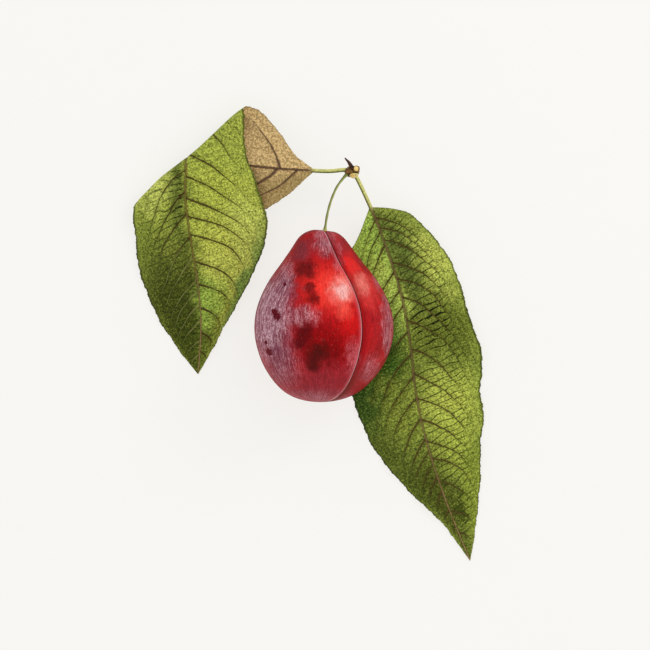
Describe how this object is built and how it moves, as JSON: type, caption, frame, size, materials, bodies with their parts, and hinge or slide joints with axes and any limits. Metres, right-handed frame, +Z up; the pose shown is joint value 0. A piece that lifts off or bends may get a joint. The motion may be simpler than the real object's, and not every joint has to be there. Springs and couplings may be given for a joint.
{
  "type": "plum sprig",
  "caption": "Ripe red pear-shaped plum on its slender stalk, with an open leaf and a folded leaf growing from the same spur.",
  "frame": {"origin": "middle of the flat spot under the fruit, on the surface that the sprig lies on", "axes": "+Y along the fruit towards its stalk, +X across it towards the open leaf, +Z up from the surface"},
  "size_m": [0.0874, 0.1133, 0.0342],
  "materials": {
    "fruit_skin": "taut red skin under a pale waxy bloom",
    "leaf_green": "green above and tan below, with brown veins",
    "stalk_green": "smooth green stalk",
    "spur_bark": "rough brown bark",
    "scale_tan": "dry tan bud scale",
    "dry_brown": "withered dark brown"
  },
  "bodies": {
    "root": {"fruit": "fruit_skin", "fruit_stalk": "stalk_green", "spur": "spur_bark", "side_bud": "scale_tan", "bud_scale_front": "scale_tan", "bud_scale_left": "scale_tan", "withered_bud": "dry_brown", "open_leaf": "leaf_green", "folded_leaf": "leaf_green"}
  },
  "joints": []
}
